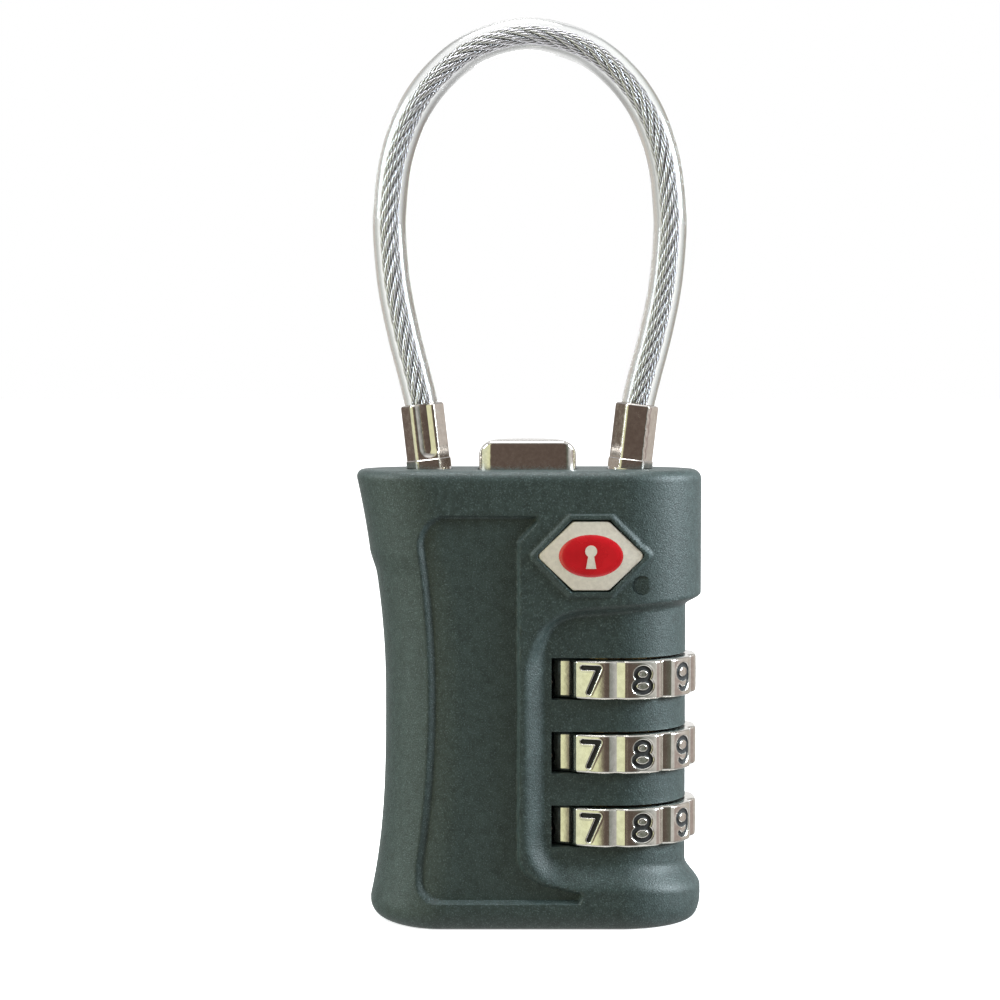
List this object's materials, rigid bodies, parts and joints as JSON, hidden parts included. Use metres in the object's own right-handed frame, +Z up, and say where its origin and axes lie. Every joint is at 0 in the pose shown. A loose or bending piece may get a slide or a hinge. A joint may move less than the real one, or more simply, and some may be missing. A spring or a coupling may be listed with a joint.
{
  "type": "cable luggage lock",
  "caption": "Travel padlock with a short plastic-covered steel cable loop, side number dials, a top release button and a key override in its base.",
  "frame": {"origin": "bottom centre of the lock's box", "axes": "+Z up from the base to the cable loop, -Y out of the badge face, +X towards the dials"},
  "size_m": [0.0309, 0.0154, 0.0804],
  "materials": {
    "case_plastic": "fine sandblasted dark green-grey ABS",
    "badge_metal": "satin",
    "badge_enamel": "gloss enamel",
    "chrome": "polished",
    "dial_nickel": "bright nickel plate, black engraved digits",
    "ferrule_nickel": "nickel plate, crimped",
    "jacket_clear": "clear flexible PVC",
    "rope_steel": "stranded wire",
    "slide_plastic": "satin",
    "brass": "satin",
    "steel": "plain",
    "spring_steel": "bright drawn wire and strip"
  },
  "bodies": {
    "case": {"front_shell": "case_plastic", "rear_shell": "case_plastic", "badge_plate": "badge_metal", "badge_inlay": "badge_enamel", "latch_clip": "spring_steel", "detent_spring": "spring_steel", "button_spring": "spring_steel", "sleeve_spring": "spring_steel", "fixed_ferrule": "ferrule_nickel", "ferrule_pin": "steel", "key_barrel": "brass", "barrel_pin": "steel", "case_pin_1": "steel", "case_pin_2": "steel", "case_pin_3": "steel", "case_pin_4": "steel", "cable_rope": "rope_steel", "cable_jacket": "jacket_clear"},
    "button": {"release_button": "chrome", "spindle": "steel", "spindle_screw": "steel"},
    "dial_1": {"dial_1": "dial_nickel"},
    "dial_2": {"dial_2": "dial_nickel"},
    "dial_3": {"dial_3": "dial_nickel"},
    "reset": {"reset_slide": "slide_plastic"},
    "sleeve_1": {"clutch_sleeve_1": "brass"},
    "sleeve_2": {"clutch_sleeve_2": "brass"},
    "sleeve_3": {"clutch_sleeve_3": "brass"},
    "key": {"key_plug": "brass", "key_wafers": "brass", "wafer_springs": "spring_steel", "key_cam": "steel", "cam_clip": "spring_steel"},
    "free_end": {"free_ferrule": "ferrule_nickel"}
  },
  "joints": [
    {"name": "button_press", "type": "slide", "parent": "case", "child": "button", "axis": [0, 0, -1], "range_m": [0, 0.0023], "stiffness_N_per_m": 600, "springref_m": -0.002, "deforming": ["button_spring", "latch_clip"]},
    {"name": "dial_1_turn", "type": "hinge", "parent": "case", "child": "dial_1", "pos_m": [0.00755, 0, 0.0222], "axis": [0, 0, 1], "continuous": true, "deforming": ["detent_spring"]},
    {"name": "dial_2_turn", "type": "hinge", "parent": "case", "child": "dial_2", "pos_m": [0.00755, 0, 0.0157], "axis": [0, 0, 1], "continuous": true, "deforming": ["detent_spring"]},
    {"name": "dial_3_turn", "type": "hinge", "parent": "case", "child": "dial_3", "pos_m": [0.00755, 0, 0.0092], "axis": [0, 0, 1], "continuous": true, "deforming": ["detent_spring"]},
    {"name": "reset_push", "type": "slide", "parent": "case", "child": "reset", "axis": [0, 0, -1], "range_m": [0, 0.0006], "stiffness_N_per_m": 1000, "springref_m": -0.001, "deforming": ["sleeve_spring"]},
    {"name": "sleeve_1_drop", "type": "slide", "parent": "dial_1", "child": "sleeve_1", "axis": [0, 0, -1], "range_m": [0, 0.0006]},
    {"name": "sleeve_2_drop", "type": "slide", "parent": "dial_2", "child": "sleeve_2", "axis": [0, 0, -1], "range_m": [0, 0.0006]},
    {"name": "sleeve_3_drop", "type": "slide", "parent": "dial_3", "child": "sleeve_3", "axis": [0, 0, -1], "range_m": [0, 0.0006]},
    {"name": "key_turn", "type": "hinge", "parent": "case", "child": "key", "pos_m": [-0.0062, 0, 0.00045], "axis": [0, 0, 1], "range_deg": [0, 90], "deforming": ["latch_clip"]},
    {"name": "cable_end_pull", "type": "slide", "parent": "case", "child": "free_end", "axis": [0.1149, 0, 0.9934], "range_m": [0, 0.009], "deforming": ["cable_rope", "cable_jacket", "latch_clip"]}
  ],
  "couplings": [
    {"joint": "sleeve_1_drop", "follows": "reset_push", "ratio": 1},
    {"joint": "sleeve_2_drop", "follows": "reset_push", "ratio": 1},
    {"joint": "sleeve_3_drop", "follows": "reset_push", "ratio": 1}
  ]
}
